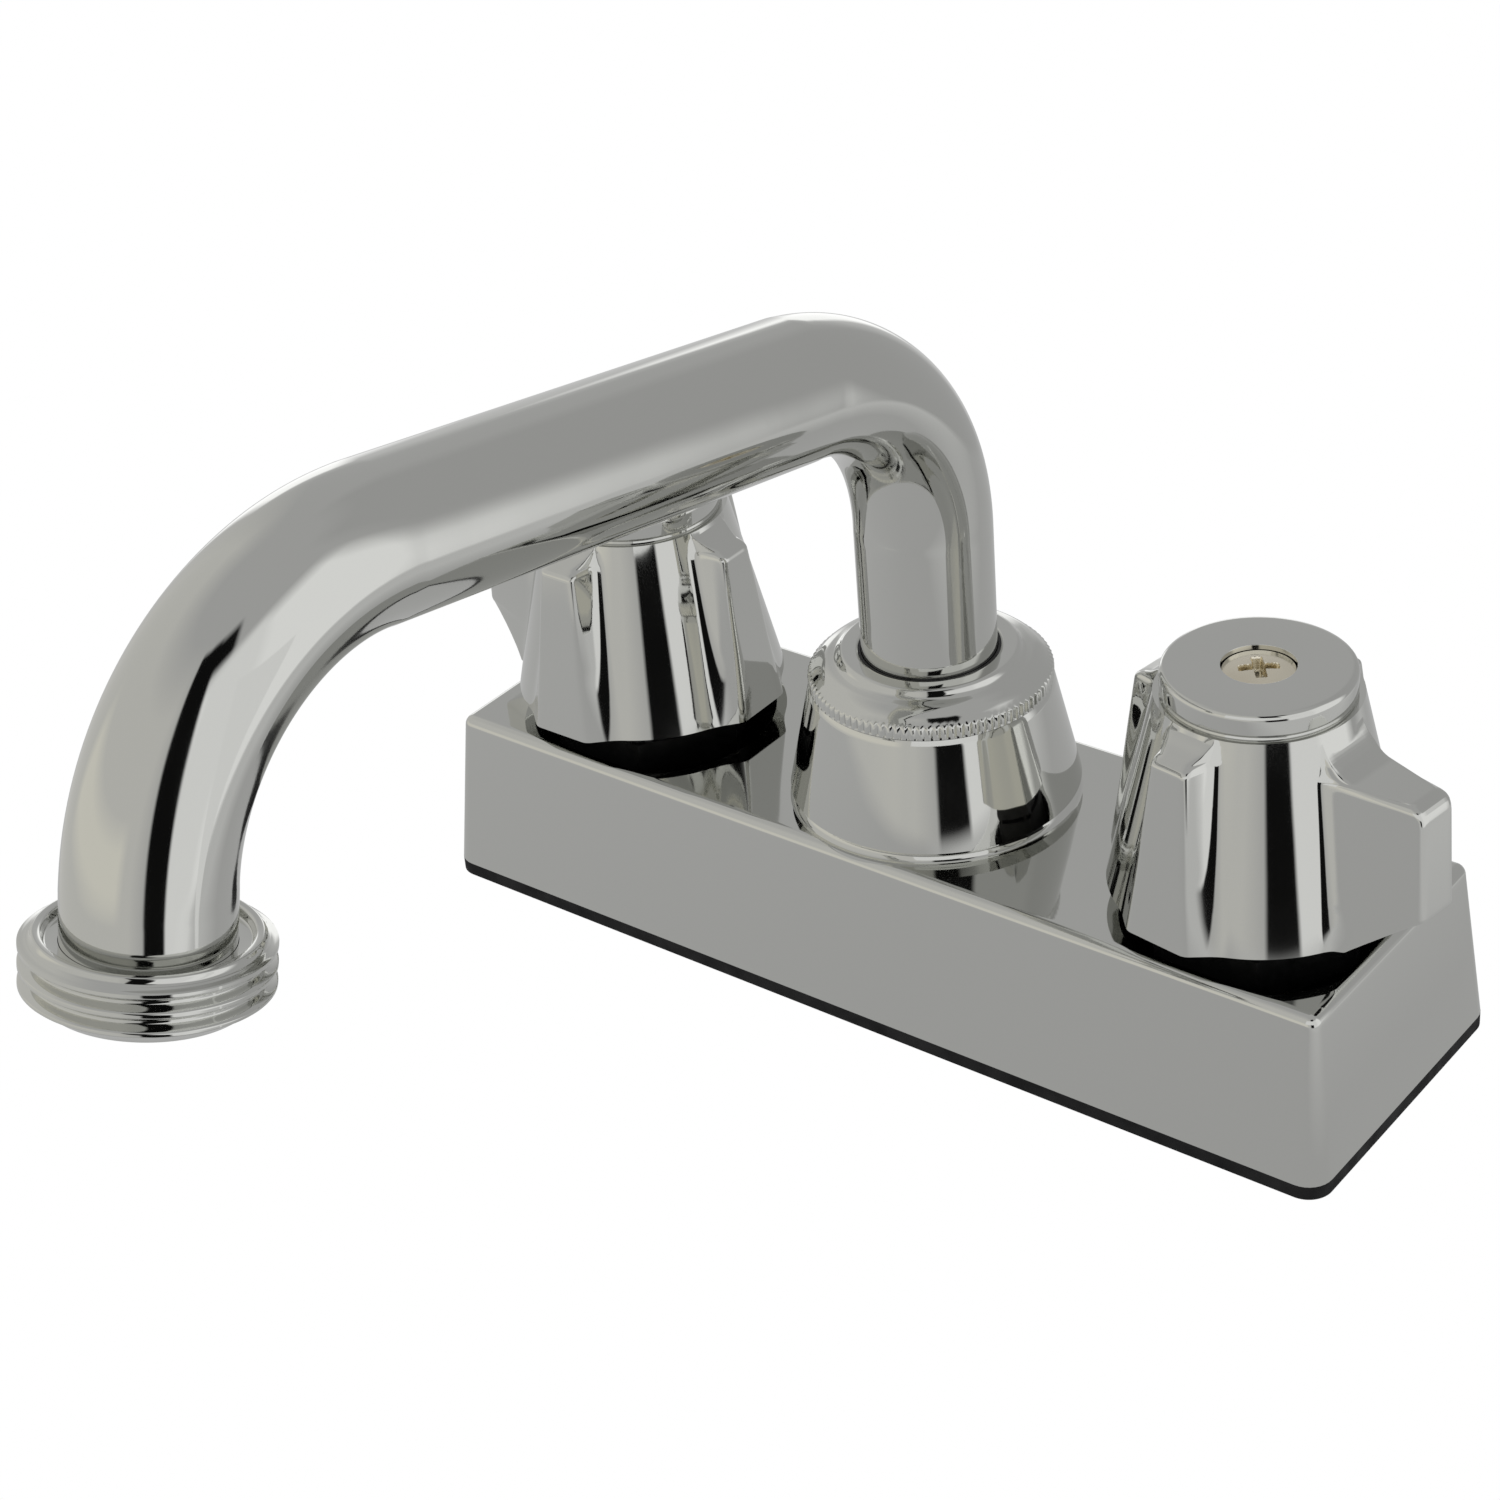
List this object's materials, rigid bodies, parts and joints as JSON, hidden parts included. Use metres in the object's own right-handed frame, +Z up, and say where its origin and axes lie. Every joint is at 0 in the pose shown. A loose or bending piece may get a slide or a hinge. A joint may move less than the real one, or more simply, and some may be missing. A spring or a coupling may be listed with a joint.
{
  "type": "two-handle laundry tub faucet",
  "caption": "Centerset laundry tub faucet with a swinging bent-tube spout, a hose-thread outlet and canopy lever handles on a tapered body.",
  "frame": {"origin": "middle of the gasket's underside, where the faucet sits on the deck, on the spout's swing axis", "axes": "+X toward the cold handle, -X toward the hot handle, -Y toward the user, +Z up; the deck face is z = 0"},
  "size_m": [0.1579, 0.1716, 0.1587],
  "materials": {
    "chrome_plate": "polished",
    "brass": "machined",
    "black_rubber": "matt",
    "ceramic": "lapped",
    "black_nylon": "moulded",
    "nickel_plate": "nickel plated"
  },
  "bodies": {
    "faucet_body": {"body_shell": "chrome_plate", "base_gasket": "black_rubber", "valve_manifold": "brass", "spout_nut": "chrome_plate", "spout_bushing": "black_nylon", "hot_fixed_disc": "ceramic", "hot_seat_seal": "black_rubber", "hot_cartridge_body": "brass", "hot_bonnet_nut": "black_nylon", "hot_inlet_shank": "brass", "hot_mounting_nut": "brass", "cold_fixed_disc": "ceramic", "cold_seat_seal": "black_rubber", "cold_cartridge_body": "brass", "cold_bonnet_nut": "black_nylon", "cold_inlet_shank": "brass", "cold_mounting_nut": "brass"},
    "spout": {"spout_tube": "chrome_plate", "spout_sleeve": "brass", "spout_seal_rings": "black_rubber", "hose_thread_outlet": "chrome_plate"},
    "hot_handle_and_stem": {"hot_handle": "chrome_plate", "hot_handle_screw": "nickel_plate", "hot_stem": "brass", "hot_stem_seal": "black_rubber", "hot_turning_disc": "ceramic"},
    "cold_handle_and_stem": {"cold_handle": "chrome_plate", "cold_handle_screw": "nickel_plate", "cold_stem": "brass", "cold_stem_seal": "black_rubber", "cold_turning_disc": "ceramic"}
  },
  "joints": [
    {"name": "spout_swing", "type": "hinge", "parent": "faucet_body", "child": "spout", "pos_m": [0, 0, 0.0345], "axis": [0, 0, 1], "range_deg": [-88, 92]},
    {"name": "hot_valve_turn", "type": "hinge", "parent": "faucet_body", "child": "hot_handle_and_stem", "pos_m": [-0.0508, 0, 0.0425], "axis": [0, 0, 1], "range_deg": [0, 90]},
    {"name": "cold_valve_turn", "type": "hinge", "parent": "faucet_body", "child": "cold_handle_and_stem", "pos_m": [0.0508, 0, 0.0425], "axis": [0, 0, 1], "range_deg": [-90, 0]}
  ]
}
